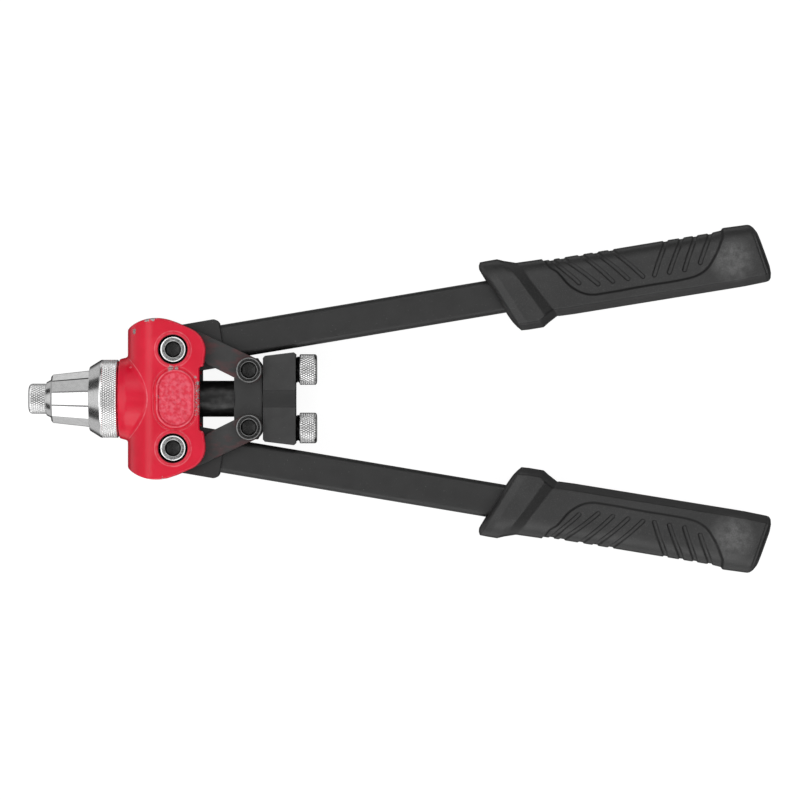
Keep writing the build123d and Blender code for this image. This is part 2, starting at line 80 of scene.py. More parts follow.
# Casting face, in millimetres
FACE_Z = 17.2
RELIEF = 0.4
OVAL_X = 60.0
OVAL_HALF_LENGTH = 11.7
OVAL_HALF_WIDTH = 7.75
OVAL_RIM = 0.9
OVAL_MOAT = 1.1
MOAT_DEPTH = 0.6
BOSS_R = 7.3
COUNTERBORE_R = 5.75

# Knurls: pitch round the part and along it
KNURL_ROUND_PITCH = 1.03
KNURL_AXIAL_PITCH = 1.78
KNURL_DEPTH = 0.30

# Grip, in the handle's own frame: u along the handle from its pivot, v away from the tool's axis.
# Each station gives u at v = 0, the slant du/dv, the outer and inner edge and the half height.
GRIP_STATIONS = [
    (131.6, -0.426, 11.8, -11.7, 8.2),
    (132.2, -0.420, 13.2, -13.6, 10.2),
    (133.2, -0.406, 14.5, -15.4, 11.0),
    (136.0, -0.420, 14.6, -15.6, 11.8),
    (136.5, -0.424, 14.6, -15.6, 11.9),
    (141.2, -0.467, 14.6, -15.6, 11.9),
    (143.6, -0.495, 13.5, -14.2, 11.9),
    (148.2, -0.540, 11.9, -12.0, 9.3),
    (149.0, -0.530, 11.9, -12.2, 9.2),
    (156.0, -0.450, 11.7, -12.4, 9.2),
    (224.0, -0.210, 11.6, -12.7, 9.2),
    (229.0, -0.190, 12.0, -12.7, 9.5),
    (238.2, -0.163, 11.7, -12.4, 9.6),
    (238.7, -0.163, 11.5, -12.3, 9.2),
    (239.2, -0.165, 11.3, -12.2, 9.4),
    (240.1, -0.172, 10.3, -11.2, 8.7),
    (240.9, -0.180, 8.6, -9.2, 6.8),
]
PANEL_EDGE = [
    (152.9, 10.6), (157.0, 4.9), (161.4, -1.8), (168.0, -6.1), (177.0, -6.7), (189.8, -6.5),
    (208.2, -6.4), (215.8, -4.5), (220.7, 0.2), (224.4, 6.0), (226.0, 11.0), (226.5, 30.0),
    (150.0, 30.0),
]
GROOVES = [
    [(165.2, -0.5), (160.0, 6.1), (154.4, 14.0)],
    [(172.7, -2.2), (163.9, 7.7), (158.3, 14.0)],
    [(178.7, -2.1), (168.6, 11.0), (166.0, 14.0)],
    [(184.9, -2.1), (174.2, 11.4), (171.9, 14.0)],
    [(191.0, -2.2), (180.2, 11.8), (178.2, 14.0)],
    [(195.6, -2.4), (202.4, 11.0), (203.9, 14.0)],
    [(201.7, -2.3), (208.8, 10.9), (210.4, 14.0)],
    [(207.9, -2.3), (214.2, 10.4), (216.0, 14.0)],
    [(214.6, -0.5), (220.0, 9.9), (222.2, 14.0)],
]
PANEL_DEPTH = 1.0
GROOVE_DEPTH = 0.6
GROOVE_HALF_WIDTH = 0.85

# Middle of the patch on each grip that hands have rubbed grey: x and y in millimetres
RUBBED_PATCH = (283.5, 56.0)


# ---- Meshes ----

def add_mesh(name, points, faces, sharp_angle):
    """A smooth-shaded mesh object from points in millimetres, with sharp edges above an angle."""
    mesh = bpy.data.meshes.new(name)
    mesh.from_pydata((np.asarray(points) * MM).tolist(), [], faces)
    mesh.validate()
    mesh.shade_smooth()
    mesh.set_sharp_from_angle(angle=math.radians(sharp_angle))
    piece = bpy.data.objects.new(name, mesh)
    bpy.context.scene.collection.objects.link(piece)
    return piece


def grid_faces(rows, columns, rows_closed):
    """Quads of a grid that is closed across its columns, and along its rows if asked."""
    faces = []
    last = rows if rows_closed else rows - 1
    for i in range(last):
        a = i * columns
        b = ((i + 1) % rows) * columns
        for j in range(columns):
            k = (j + 1) % columns
            faces.append((a + j, a + k, b + k, b + j))
    return faces


def smoothstep(low, high, value):
    t = np.clip((value - low) / (high - low), 0, 1)
    return t * t * (3 - 2 * t)


def outline_rows(outline):
    """x and radius along a closed outline of (x, radius, step); a stretch is cut into its step."""
    rows = []
    for index, (x1, r1, step) in enumerate(outline):
        x0, r0, _ = outline[index - 1]
        pieces = max(1, round(math.hypot(x1 - x0, r1 - r0) / step))
        for i in range(1, pieces + 1):
            share = i / pieces
            rows.append((x0 + (x1 - x0) * share, r0 + (r1 - r0) * share))
    return np.array(rows)


def turned_piece(name, outline, columns, cut, centre_y=0.0, sharp_angle=28):
    """A turned part round the X axis; cut(x, r, angle) is the depth taken off its radius."""
    rows = outline_rows(outline)
    x = rows[:, 0][:, None]
    r = rows[:, 1][:, None]
    angle = np.linspace(0, 2 * math.pi, columns, endpoint=False)[None, :]
    radius = r - cut(x, r, angle)
    points = np.stack([
        np.broadcast_to(x, radius.shape),
        centre_y + radius * np.sin(angle),
        radius * np.cos(angle),
    ], axis=-1)
    faces = grid_faces(len(rows), columns, True)
    piece = add_mesh(name, points.reshape(-1, 3), faces, sharp_angle)
    groove = piece.data.attributes.new("groove", "FLOAT", "POINT")
    groove.data.foreach_set("value", ((r - radius) / KNURL_DEPTH).astype(np.float32).ravel())
    return piece


def to_middle(phase):
    """Distance from the nearest groove, 0 in the groove and 0.5 midway between two."""
    return np.abs(phase - np.round(phase))


def knurl(x, angle, radius, start, end):
    """Depth of a diamond knurl of two crossing groove families, fading at its two ends."""
    teeth = round(2 * math.pi * radius / KNURL_ROUND_PITCH)
    turn = teeth * angle / (2 * math.pi)
    along = x / KNURL_AXIAL_PITCH
    height = np.minimum(to_middle(turn + along), to_middle(turn - along))
    depth = 1 - np.clip(height / 0.24, 0, 1)
    window = smoothstep(start, start + 0.35, x) * (1 - smoothstep(end - 0.35, end, x))
    return KNURL_DEPTH * depth * window


def thread(x, angle, start, end, pitch=1.0, depth=0.45):
    """Depth of a single-start thread between two places."""
    height = to_middle(x / pitch - angle / (2 * math.pi)) * 2
    inside = (x > start) & (x < end)
    return np.where(inside, depth * (1 - height), 0.0)


# ---- Turned parts of the nose ----

def make_nosepiece():
    head_r = 6.13

    def cut(x, r, angle):
        on_head = r > head_r - 0.02
        return np.where(on_head, knurl(x, angle, head_r, 0.5, 7.0), thread(x, angle, 9.6, 13.9))

    outline = [
        (16.0, 1.6, 9), (0.3, 1.6, 9), (0.0, 1.9, 9), (0.0, 4.6, 9), (0.25, 5.3, 9), (0.7, 5.85, 9),
        (1.3, head_r, 9), (6.9, head_r, 0.11), (7.2, 5.9, 9), (7.22, 6.65, 9), (7.3, 6.75, 9),
        (7.36, 6.79, 9), (9.05, 7.71, 9), (9.12, 7.74, 9), (9.2, 7.7, 9), (9.2, 5.4, 9),
        (14.0, 5.4, 0.12), (14.2, 5.0, 9), (14.2, 3.0, 9), (15.8, 3.0, 9), (16.0, 2.8, 9),
    ]
    return turned_piece("nosepiece_knurled", outline, 37 * 8, cut)


def make_lock_ring():
    ring_r = 15.75

    def cut(x, r, angle):
        return np.where(r > ring_r - 0.02, knurl(x, angle, ring_r, 29.9, 35.9), 0.0)

    outline = [
        (24.7, 11.9, 9), (24.7, 12.75, 9), (24.85, 12.99, 9), (24.95, 13.05, 9), (28.95, 15.53, 9),
        (29.05, 15.58, 9), (29.3, 15.7, 9), (29.6, ring_r, 9), (35.9, ring_r, 0.12),
        (36.2, 15.5, 9), (36.2, 13.05, 9), (27.0, 13.05, 9), (27.0, 11.9, 9),
    ]
    return turned_piece("lock_ring_knurled", outline, 96 * 6, cut)


def make_spare(side):
    head_r = 6.2
    bore_r = {"right": 1.25, "left": 1.1}[side]

    def cut(x, r, angle):
        on_head = r > head_r - 0.02
        return np.where(on_head, knurl(x, angle, head_r, 109.7, 115.6), thread(x, angle, 100.2, 109.2))

    outline = [
        (100.0, bore_r, 9), (100.0, 5.0, 9), (100.3, 5.4, 9), (109.4, 5.4, 0.12), (109.4, 5.9, 9),
        (109.65, head_r, 9), (115.6, head_r, 0.11), (116.1, 5.95, 9), (116.35, 5.5, 9),
        (116.4, 5.2, 9), (116.4, bore_r + 0.3, 9), (116.1, bore_r, 9),
    ]
    centre_y = SIDES[side] * 11.8
    return turned_piece("spare_nosepiece_%s_knurled" % side, outline, 37 * 8, cut, centre_y)


def make_nose_housing():
    """Twelve-sided tapered sleeve with small bevels between its flats, and a round flange."""
    sides = 12
    rows = [
        (9.2, 5.45, 0), (9.2, 8.9, 1), (9.4, 9.1, 1), (9.95, 9.72, 1), (24.6, 11.34, 1),
        (24.7, 11.34, 1), (24.72, 11.7, 0), (27.0, 11.7, 0), (27.0, 12.8, 0), (29.7, 12.8, 0),
        (29.7, 8.0, 0), (13.2, 8.0, 0), (13.2, 5.45, 0),
    ]
    half = math.pi / sides
    bevel = math.radians(1.7)
    points = []
    for x, size, flat in rows:
        for side in range(sides):
            for offset in (-half + bevel, -half / 2, half / 2, half - bevel):
                angle = side * 2 * half + offset
                radius = size / math.cos(offset) if flat else size
                points.append((x, -radius * math.sin(angle), radius * math.cos(angle)))
    faces = grid_faces(len(rows), sides * 4, True)
    return add_mesh("nose_housing_faceted", points, faces, 9)


# ---- Socket screws ----

def make_screws(node, pin_x, pin_y):
    """Two socket-head screws, one on each side, with serrated heads, worn rims and hexagon sockets."""
    low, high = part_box(node)
    bottom, top = low.z / MM, high.z / MM
    under_head = top - 5.2
    rows = [
        # radius, height, whether the row is a hexagon, depth of the serration
        (2.6, bottom, 0, 0), (3.0, bottom + 0.4, 0, 0), (3.0, under_head, 0, 0), (4.9, under_head, 0, 0),
        (5.15, under_head + 0.25, 0, 0.1), (5.15, top - 0.6, 0, 0.1), (5.05, top - 0.24, 0, 0),
        (4.98, top - 0.12, 0, 0), (4.62, top - 0.01, 0, 0), (4.55, top, 0, 0), (3.55, top, 0, 0),
        (3.5, top - 0.03, 0, 0), (3.3, top - 0.08, 0, 0), (3.22, top - 0.25, 0, 0), (2.6, top - 0.75, 1, 0),
        (2.5, top - 3.0, 1, 0),
    ]
    columns = 96
    points = []
    for radius, z, hexagon, serration in rows:
        for j in range(columns):
            angle = 2 * math.pi * j / columns
            in_flat = (angle + math.pi / 6) % (math.pi / 3) - math.pi / 6
            r = radius / math.cos(in_flat) if hexagon else radius
            r -= serration * (j % 2)
            points.append((r * math.cos(angle), r * math.sin(angle), z))
    faces = grid_faces(len(rows), columns, False)
    last = (len(rows) - 1) * columns
    foot, floor = len(points), len(points) + 1
    points += [(0, 0, bottom), (0, 0, top - 3.3)]
    for j in range(columns):
        k = (j + 1) % columns
        faces.append((foot, k, j))
        faces.append((floor, last + j, last + k))
    right = np.array(points) + (pin_x, pin_y, 0)
    left = right * (1, -1, 1)
    flipped = [tuple(len(right) + corner for corner in face[::-1]) for face in faces]
    return add_mesh(node + "_socket_head", np.concatenate([right, left]), faces + flipped, 30)


# ---- Casting ----

def face_height(x, y):
    """Height of the casting's top face round the oval and the two screw bosses."""
    straight = OVAL_HALF_LENGTH - OVAL_HALF_WIDTH
    from_oval = math.hypot(x - OVAL_X, max(abs(y) - straight, 0)) - OVAL_HALF_WIDTH
    inside_rim = smoothstep(-OVAL_RIM - 0.25, -OVAL_RIM + 0.05, from_oval)
    beyond_rim = smoothstep(-0.15, 0.3, from_oval)
    beyond_moat = smoothstep(OVAL_MOAT - 0.35, OVAL_MOAT + 0.25, from_oval)
    hammered = 0.0
    if from_oval < 0:
        place = Vector((x * 0.62, y * 0.62, 3.7))
        hammered = 0.30 * noise.noise(place) + 0.12 * noise.noise(place * 2.3)
    floor = FACE_Z - 0.15 + hammered
    rim = FACE_Z + RELIEF
    height = floor + (rim - floor) * inside_rim
    height += (FACE_Z - MOAT_DEPTH - height) * beyond_rim
    height += (FACE_Z - height) * beyond_moat
    from_boss = math.hypot(x - PIVOT_X, abs(y) - PIVOT_Y) - BOSS_R
    on_boss = 1 - smoothstep(-0.45, 0.1, from_boss)
    return height + (FACE_Z + RELIEF - height) * on_boss


def refine_boss(mesh):
    """Split the mesh finer over the oval and its moat, for their small relief."""
    work = bmesh.new()
    work.from_mesh(mesh)
    reach_x = (OVAL_HALF_WIDTH + OVAL_MOAT + 0.6) * MM
    reach_y = (OVAL_HALF_LENGTH + OVAL_MOAT + 0.6) * MM
    edges = [
        edge for edge in work.edges
        if all(
            v.co.z > 15.8 * MM and abs(v.co.x - OVAL_X * MM) < reach_x and abs(v.co.y) < reach_y
            for v in edge.verts
        )
    ]
    bmesh.ops.subdivide_edges(work, edges=edges, cuts=1, use_grid_fill=True)
    work.to_mesh(mesh)
    work.free()


def make_casting():
    """The CAD casting with every edge rounded, and its top face's relief worked in finely."""
    source = frame["nodes"]["body_casting"]
    piece = bpy.data.objects.new("body_casting_enamelled", source.data.copy())
    bpy.context.scene.collection.objects.link(piece)
    remesh = piece.modifiers.new("remesh", "REMESH")
    remesh.mode = "VOXEL"
    remesh.voxel_size = 0.42 * MM
    smooth = piece.modifiers.new("smooth", "SMOOTH")
    smooth.factor = 0.5
    smooth.iterations = 7
    evaluated = piece.evaluated_get(bpy.context.evaluated_depsgraph_get())
    mesh = bpy.data.meshes.new_from_object(evaluated)
    piece.modifiers.clear()
    piece.data = mesh
    refine_boss(mesh)
    count = len(mesh.vertices)
    co = np.empty(count * 3)
    mesh.vertices.foreach_get("co", co)
    co = co.reshape(-1, 3) / MM
    straight = OVAL_HALF_LENGTH - OVAL_HALF_WIDTH
    beyond = np.maximum(np.abs(co[:, 1]) - straight, 0)
    from_oval = np.hypot(co[:, 0] - OVAL_X, beyond) - OVAL_HALF_WIDTH
    from_pin = np.hypot(co[:, 0] - PIVOT_X, np.abs(co[:, 1]) - PIVOT_Y)
    on_oval = from_oval < OVAL_MOAT + 0.3
    on_boss = (from_pin < BOSS_R + 0.4) & (from_pin > COUNTERBORE_R + 0.6)
    for i in np.nonzero((co[:, 2] > 15.8) & (on_oval | on_boss))[0]:
        co[i, 2] = face_height(co[i, 0], co[i, 1])
    mesh.vertices.foreach_set("co", (co * MM).ravel())
    mesh.update()
    mesh.shade_smooth()
    return piece


# ---- Grips ----

def distance_to_path(u, v, path):
    """Distance of each point to a path of straight runs."""
    nearest = np.full(u.shape, 1e9)
    for (u0, v0), (u1, v1) in zip(path, path[1:]):
        du, dv = u1 - u0, v1 - v0
        along = np.clip(((u - u0) * du + (v - v0) * dv) / (du * du + dv * dv), 0, 1)
        nearest = np.minimum(nearest, np.hypot(u - u0 - along * du, v - v0 - along * dv))
    return nearest


def inside_path(u, v, path):
    """Whether each point lies inside a closed path."""
    inside = np.zeros(u.shape, bool)
    for (u0, v0), (u1, v1) in zip(path, path[1:] + path[:1]):
        if v0 != v1:
            crosses = (v0 > v) != (v1 > v)
            inside ^= crosses & (u < u0 + (v - v0) * (u1 - u0) / (v1 - v0))
    return inside


def rounded_path(path, steps=6):
    """A closed path with its corners rounded off by a spline through its points."""
    count = len(path)
    rounded = []
    for i in range(count):
        a, b, c, d = (np.array(path[(i + k) % count]) for k in range(-1, 3))
        for t in np.arange(steps) / steps:
            curve = 2 * b + (c - a) * t + (2 * a - 5 * b + 4 * c - d) * t**2
            curve += (3 * b - a - 3 * c + d) * t**3
            rounded.append(tuple(curve / 2))
    return rounded


def grip_relief(u, v):
    """Depth of the recessed panel and its grooves, and how far each point lies in a tight crease."""
    edge = distance_to_path(u, v, PANEL)
    inside = inside_path(u, v, PANEL)
    panel = np.where(inside, smoothstep(0.0, 0.95, edge), 0.0)
    crease = np.where(inside, 1 - smoothstep(0.6, 1.25, edge), 1 - smoothstep(0.0, 0.25, edge))
    grooves = np.zeros(u.shape)
    for path in GROOVES:
        away = distance_to_path(u, v, path)
        groove = 1 - smoothstep(GROOVE_HALF_WIDTH - 0.25, GROOVE_HALF_WIDTH + 0.15, away)
        grooves = np.maximum(grooves, groove)
        wall = 0.75 * (1 - smoothstep(0.1, 0.35, np.abs(away - GROOVE_HALF_WIDTH + 0.1)))
        crease = np.maximum(crease, wall)
    return PANEL_DEPTH * panel + GROOVE_DEPTH * grooves, crease


PANEL = rounded_path(PANEL_EDGE)


def crown_of(outer):
    """Where the flat top starts to round over to the outer edge."""
    return outer - (outer - 1.0) * 0.92


def half_section(outer, inner, height):
    """Upper half of the grip's section, from the outer edge over the flat to the inner edge."""
    crown = crown_of(outer)
    bend = np.linspace(0, math.pi / 2, 34)
    arc_v = crown + (outer - crown) * np.cos(bend) ** 0.85
    arc_z = height * np.sin(bend) ** 0.85
    bevel_v = inner + 3.0
    flat_v = np.linspace(crown, bevel_v + 0.3, 58)[1:]
    corner_v = np.array([bevel_v - 0.1, bevel_v - 0.45])
    corner_z = height - np.array([0.12, 0.7])
    wall_v = np.linspace(bevel_v - 0.9, inner + 0.35, 7)
    wall_z = height - 1.5 - np.linspace(0, height * 0.48, 7)
    side_v = np.array([inner + 0.05, inner])
    side_z = wall_z[-1] * np.array([0.8, 0.4])
    v = np.concatenate([arc_v, flat_v, corner_v, wall_v, side_v])
    z = np.concatenate([arc_z, np.full(len(flat_v), height), corner_z, wall_z, side_z])
    return v, z


def make_grip(side):
    """Moulded grip: a slanted guard, a handle with a recessed panel of grooves, and a flared butt."""
    stations = np.array(GRIP_STATIONS)
    middle = np.concatenate([
        np.linspace(stations[0, 0], 152.0, 62, endpoint=False),
        np.linspace(152.0, 228.0, 270, endpoint=False),
        np.linspace(228.0, stations[-1, 0], 50),
    ])
    slant, outer, inner, height = (np.interp(middle, stations[:, 0], stations[:, k]) for k in range(1, 5))
    loops = []
    creases = []
    for row in range(len(middle)):
        v, z = half_section(outer[row], inner[row], height[row])
        u = middle[row] + slant[row] * v
        gap_v = np.gradient(v)
        gap_z = np.gradient(z)
        size = np.hypot(gap_v, gap_z)
        depth, crease = grip_relief(u, v)
        depth *= np.where(v > crown_of(outer[row]), 0.75 + 0.25 * z / height[row], 1.0)
        creases.append(np.concatenate([crease, crease[::-1][: len(crease) - 1]]))
        v_in = v + depth * gap_z / size * -1
        z_in = z + depth * gap_v / size
        upper = np.stack([u, v_in, z_in], axis=-1)
        lower = upper[::-1][: len(upper) - 1] * (1, 1, -1)
        loops.append(np.concatenate([upper, lower]))
    loops = np.array(loops)
    rows, columns = loops.shape[:2]
    points = loops.reshape(-1, 3)
    cos, sin = math.cos(HANDLE_ANGLE), math.sin(HANDLE_ANGLE)
    x = PIVOT_X + points[:, 0] * cos - points[:, 1] * sin
    y = PIVOT_Y + points[:, 0] * sin + points[:, 1] * cos
    placed = np.stack([x, SIDES[side] * y, points[:, 2]], axis=-1)
    faces = grid_faces(rows, columns, False)
    front = len(placed)
    butt = front + 1
    ends = np.array([placed[:columns].mean(0), placed[-columns:].mean(0)])
    for j in range(columns):
        k = (j + 1) % columns
        faces.append((front, k, j))
        faces.append((butt, (rows - 1) * columns + j, (rows - 1) * columns + k))
    if side == "right":
        faces = [face[::-1] for face in faces]
    piece = add_mesh(side + "_grip_moulded", np.concatenate([placed, ends]), faces, 50)
    stored = piece.data.attributes.new("crease", "FLOAT", "POINT")
    stored.data.foreach_set("value", np.append(np.concatenate(creases), (0, 0)).astype(np.float32))
    return piece


# ---- Materials ----

def grey(value, alpha=1.0):
    return (value, value, value, alpha)


class Shader:
    """A material on the Principled shader, with helpers for its procedural nodes."""

    def __init__(self, name):
        self.material = bpy.data.materials.new(name)
        self.material.use_nodes = True
        self.tree = self.material.node_tree
        self.surface = self.tree.nodes["Principled BSDF"]
        self.place = self.add("ShaderNodeTexCoord").outputs["Object"]

    def add(self, kind, inputs=None, **settings):
        node = self.tree.nodes.new(kind)
        for key, value in settings.items():
            setattr(node, key, value)
        for key, value in (inputs or {}).items():
            self.put(node, key, value)
        return node

    def put(self, node, key, value):
        if isinstance(value, bpy.types.NodeSocket):
            self.tree.links.new(value, node.inputs[key])
        else:
            node.inputs[key].default_value = value

    def math(self, operation, first, second=0.0):
        node = self.add("ShaderNodeMath", {0: first, 1: second}, operation=operation)
        node.use_clamp = operation != "SUBTRACT"
        return node.outputs[0]

    def noise(self, size_mm, detail=2.0, stretch=(1, 1, 1)):
        """Noise from 0 to 1 with features of about this size, stretched along the axes."""
        scaled = self.add("ShaderNodeMapping", {"Vector": self.place}, vector_type="POINT")
        scaled.inputs["Scale"].default_value = stretch
        inputs = {"Vector": scaled.outputs[0], "Scale": 1 / (size_mm * MM), "Detail": detail}
        return self.add("ShaderNodeTexNoise", inputs).outputs[0]

    def ramp(self, value, low, high, start=0.0, end=1.0):
        """A value that runs from start to end while the input runs from low to high."""
        inputs = {"Value": value, "From Min": low, "From Max": high, "To Min": start, "To Max": end}
        return self.add("ShaderNodeMapRange", inputs, clamp=True).outputs[0]

    def mix(self, share, first, second):
        node = self.add("ShaderNodeMix", data_type="RGBA")
        for socket, value in zip((node.inputs[0], node.inputs[6], node.inputs[7]), (share, first, second)):
            if isinstance(value, bpy.types.NodeSocket):
                self.tree.links.new(value, socket)
            else:
                socket.default_value = value
        return node.outputs[2]

    def near(self, centre_mm, radius_mm, soft_mm, flat=True):
        """1 within a radius of a point, or of a line along Z, fading over a soft edge."""
        centre = self.add("ShaderNodeVectorMath", {0: self.place}, operation="SUBTRACT")
        centre.inputs[1].default_value = [c * MM for c in centre_mm]
        squash = self.add("ShaderNodeVectorMath", {0: centre.outputs[0]}, operation="MULTIPLY")
        squash.inputs[1].default_value = (1, 1, 0 if flat else 1)
        length = self.add("ShaderNodeVectorMath", {0: squash.outputs[0]}, operation="LENGTH")
        return self.ramp(length.outputs["Value"], (radius_mm + soft_mm) * MM, radius_mm * MM)

    def distance(self, point, centre_mm):
        """Distance from a fixed point."""
        inputs = {0: point, 1: tuple(c * MM for c in centre_mm)}
        return self.add("ShaderNodeVectorMath", inputs, operation="DISTANCE").outputs["Value"]

    def from_axis(self, centre_mm):
        """Distance from a line along Z, and from its mirror image on the other side of the tool."""
        x, y, z = self.add("ShaderNodeSeparateXYZ", {0: self.place}).outputs
        folded = self.add("ShaderNodeCombineXYZ", {"X": x, "Y": self.math("ABSOLUTE", y)}).outputs[0]
        return self.distance(folded, (*centre_mm, 0))

    def line(self, value, middle_mm, reach_mm, core_mm, share):
        """The share on a thin line where a length meets its middle, fading from the core outwards."""
        away = self.math("ABSOLUTE", self.math("SUBTRACT", value, middle_mm * MM))
        return self.ramp(away, reach_mm * MM, core_mm * MM, 0.0, share)

    def bump(self, height, distance_mm, strength=1.0):
        inputs = {"Height": height, "Distance": distance_mm * MM, "Strength": strength}
        return self.add("ShaderNodeBump", inputs).outputs[0]

    def finish(self, **inputs):
        for key, value in inputs.items():
            self.put(self.surface, key.replace("_", " "), value)
        return self.material


CHIPS = [
    # place on the face and radius, in millimetres
    ((58.0, 12.3, 17), 1.5), ((60.4, 12.4, 17), 1.1), ((53.0, 0.8, 17), 0.8), ((52.6, -0.6, 17), 0.5),
    ((68.9, 6.2, 17), 1.1), ((69.2, 3.4, 17), 1.0), ((69.2, 0.3, 17), 0.8), ((69.0, -3.2, 17), 0.8),
    ((67.8, 8.6, 17), 0.7), ((43.4, 27.0, 12.2), 1.5), ((56.0, 31.6, 16), 1.0), ((52.2, 32.1, 16), 1.2),
    ((48.6, 32.0, 16.4), 1.5), ((50.8, 32.2, 17), 1.4), ((59.5, 30.7, 16), 0.7),
    ((55.0, -31.9, 16), 1.3), ((59.5, -30.8, 16), 0.9),
]


# Arc where the neck runs into the roll, along which a highlight line is painted: its furthest point
# along X in millimetres, and how far it bows back, in metres of X for each square metre of Y
SADDLE_X = 48.7
SADDLE_BOW = 30.4
# Beyond this X the casting's rear wall is coloured near-black as painted shade
REAR_WALL_X = 69.15


def red_enamel():
    """Glossy red stove enamel: bare metal where it has chipped, painted highlight lines along the oval's rim
    and moat, the boss rings, the neck's saddle arc and the face edges, mottled paint in the oval's recess,
    and painted shade, near-black, in the gaps round the screws and on the rear wall."""
    s = Shader("red_enamel")
    broad = s.noise(9.0)
    red = s.mix(s.ramp(broad, 0.35, 0.65), (0.70, 0.006, 0.031, 1), (0.76, 0.009, 0.039, 1))
    fleck = s.noise(0.55, 4.0)
    chipped = 0.0
    for centre, radius in CHIPS:
        spot = s.near(centre, radius * 0.2, radius * 1.4, flat=False)
        chipped = s.math("MAXIMUM", spot, chipped)
    x, y, z = s.add("ShaderNodeSeparateXYZ", {0: s.place}).outputs
    strip = s.math("MULTIPLY", s.ramp(x, 66.8 * MM, 67.8 * MM, 0.0, 0.55), s.ramp(z, 16.0 * MM, 16.6 * MM))
    strip = s.math("MULTIPLY", strip, s.ramp(s.math("ABSOLUTE", y), 9.0 * MM, 6.5 * MM))
    chipped = s.math("MAXIMUM", strip, chipped)
    flaked = s.math("ADD", s.math("MULTIPLY", chipped, 0.45), s.math("MULTIPLY", fleck, 0.80))
    bare = s.ramp(flaked, 0.66, 0.69)
    metal = s.mix(s.ramp(s.noise(0.3), 0.4, 0.6), (0.25, 0.24, 0.24, 1), (0.55, 0.53, 0.52, 1))
    colour = s.mix(bare, red, metal)
    past_middle = s.math("SUBTRACT", s.math("ABSOLUTE", y), (OVAL_HALF_LENGTH - OVAL_HALF_WIDTH) * MM)
    beside = s.add("ShaderNodeCombineXYZ", {"X": x, "Y": s.math("MAXIMUM", past_middle, 0.0)}).outputs[0]
    from_oval = s.distance(beside, (OVAL_X, 0, 0))
    rim_inside = (OVAL_HALF_WIDTH - OVAL_RIM) * MM
    recess = s.ramp(from_oval, rim_inside, rim_inside - 0.6 * MM)
    recess = s.math("MULTIPLY", recess, s.ramp(z, 15 * MM, 16 * MM))
    patches = s.ramp(s.noise(1.7, 3.0), 0.40, 0.62, 0.12, 0.50)
    colour = s.mix(s.math("MULTIPLY", recess, patches), colour, (0.93, 0.20, 0.27, 1))
    # Painted highlights: pale lines on the oval's rim, its moat and the boss rings, on the top face only
    rim_highlight = s.line(from_oval, OVAL_HALF_WIDTH - 0.25, 0.45, 0.15, 0.55)
    moat_highlight = s.line(from_oval, OVAL_HALF_WIDTH + OVAL_MOAT, 0.40, 0.10, 0.28)
    boss_highlight = s.line(s.from_axis((PIVOT_X, PIVOT_Y)), BOSS_R, 0.40, 0.10, 0.32)
    lines = s.math("MAXIMUM", s.math("MAXIMUM", rim_highlight, moat_highlight), boss_highlight)
    lines = s.math("MULTIPLY", lines, s.ramp(z, 16.2 * MM, 16.5 * MM))
    # Painted highlight along the arc where the neck runs into the roll
    bow = s.math("ADD", x, s.math("MULTIPLY", s.math("MULTIPLY", y, y), SADDLE_BOW))
    saddle_highlight = s.line(bow, SADDLE_X, 0.35, 0.08, 0.40)
    saddle_highlight = s.math("MULTIPLY", saddle_highlight, s.ramp(z, 5.0 * MM, 9.0 * MM))
    # Painted highlight on convex edges, found from pointiness
    convex = s.add("ShaderNodeNewGeometry").outputs["Pointiness"]
    corner = s.ramp(convex, 0.525, 0.57, 0.0, 0.45)
    lines = s.math("MAXIMUM", s.math("MAXIMUM", lines, saddle_highlight), corner)
    # The painted highlight lines are made patchy by noise and mixed in as pale pink
    patchy = s.ramp(s.noise(2.2, 3.0), 0.35, 0.60, 0.35, 1.0)
    colour = s.mix(s.math("MULTIPLY", lines, patchy), colour, (0.92, 0.30, 0.36, 1))
    # Painted shade: the rear wall and the gaps round the screws are coloured near-black
    rear_wall_shade = s.ramp(x, REAR_WALL_X * MM, (REAR_WALL_X + 0.2) * MM)
    rear_wall_shade = s.math("MULTIPLY", rear_wall_shade, s.ramp(s.math("ABSOLUTE", y), 14.0 * MM, 13.5 * MM))
    rear_wall_shade = s.math("MULTIPLY", rear_wall_shade, s.ramp(z, 15.6 * MM, 15.0 * MM))
    painted_shade = rear_wall_shade
    for sign in (1, -1):
        painted_shade = s.math("MAXIMUM", s.near((PIVOT_X, sign * PIVOT_Y, 0), COUNTERBORE_R + 0.1, 0.25), painted_shade)
    colour = s.mix(painted_shade, colour, grey(0.006))
    ripple = s.math("ADD", s.math("MULTIPLY", s.noise(3.5), 0.5), s.math("MULTIPLY", bare, -0.5))
    rough = s.ramp(bare, 0.0, 1.0, 0.25, 0.45)
    metallic = s.math("MULTIPLY", bare, 0.9)
    return s.finish(Base_Color=colour, Roughness=rough, Metallic=metallic, Normal=s.bump(ripple, 0.05),
                    Specular_IOR_Level=0.34)


def satin_nickel(name="satin_nickel", dark=grey(0.59), light=grey(0.67), rough=(0.10, 0.18)):
    """Plated steel with fine turning lines round the X axis and small dull spots."""
    s = Shader(name)
    lines = s.noise(0.12, 3.0, (1.0, 0.02, 0.02))
    spots = s.noise(1.6, 4.0)
    colour = s.mix(s.ramp(spots, 0.35, 0.7), light, dark)
    blend = s.math("ADD", s.math("MULTIPLY", spots, 0.6), s.math("MULTIPLY", lines, 0.4))
    dull = s.ramp(blend, 0.3, 0.7, *rough)
    return s.finish(Base_Color=colour, Metallic=1.0, Roughness=dull, Normal=s.bump(lines, 0.004))


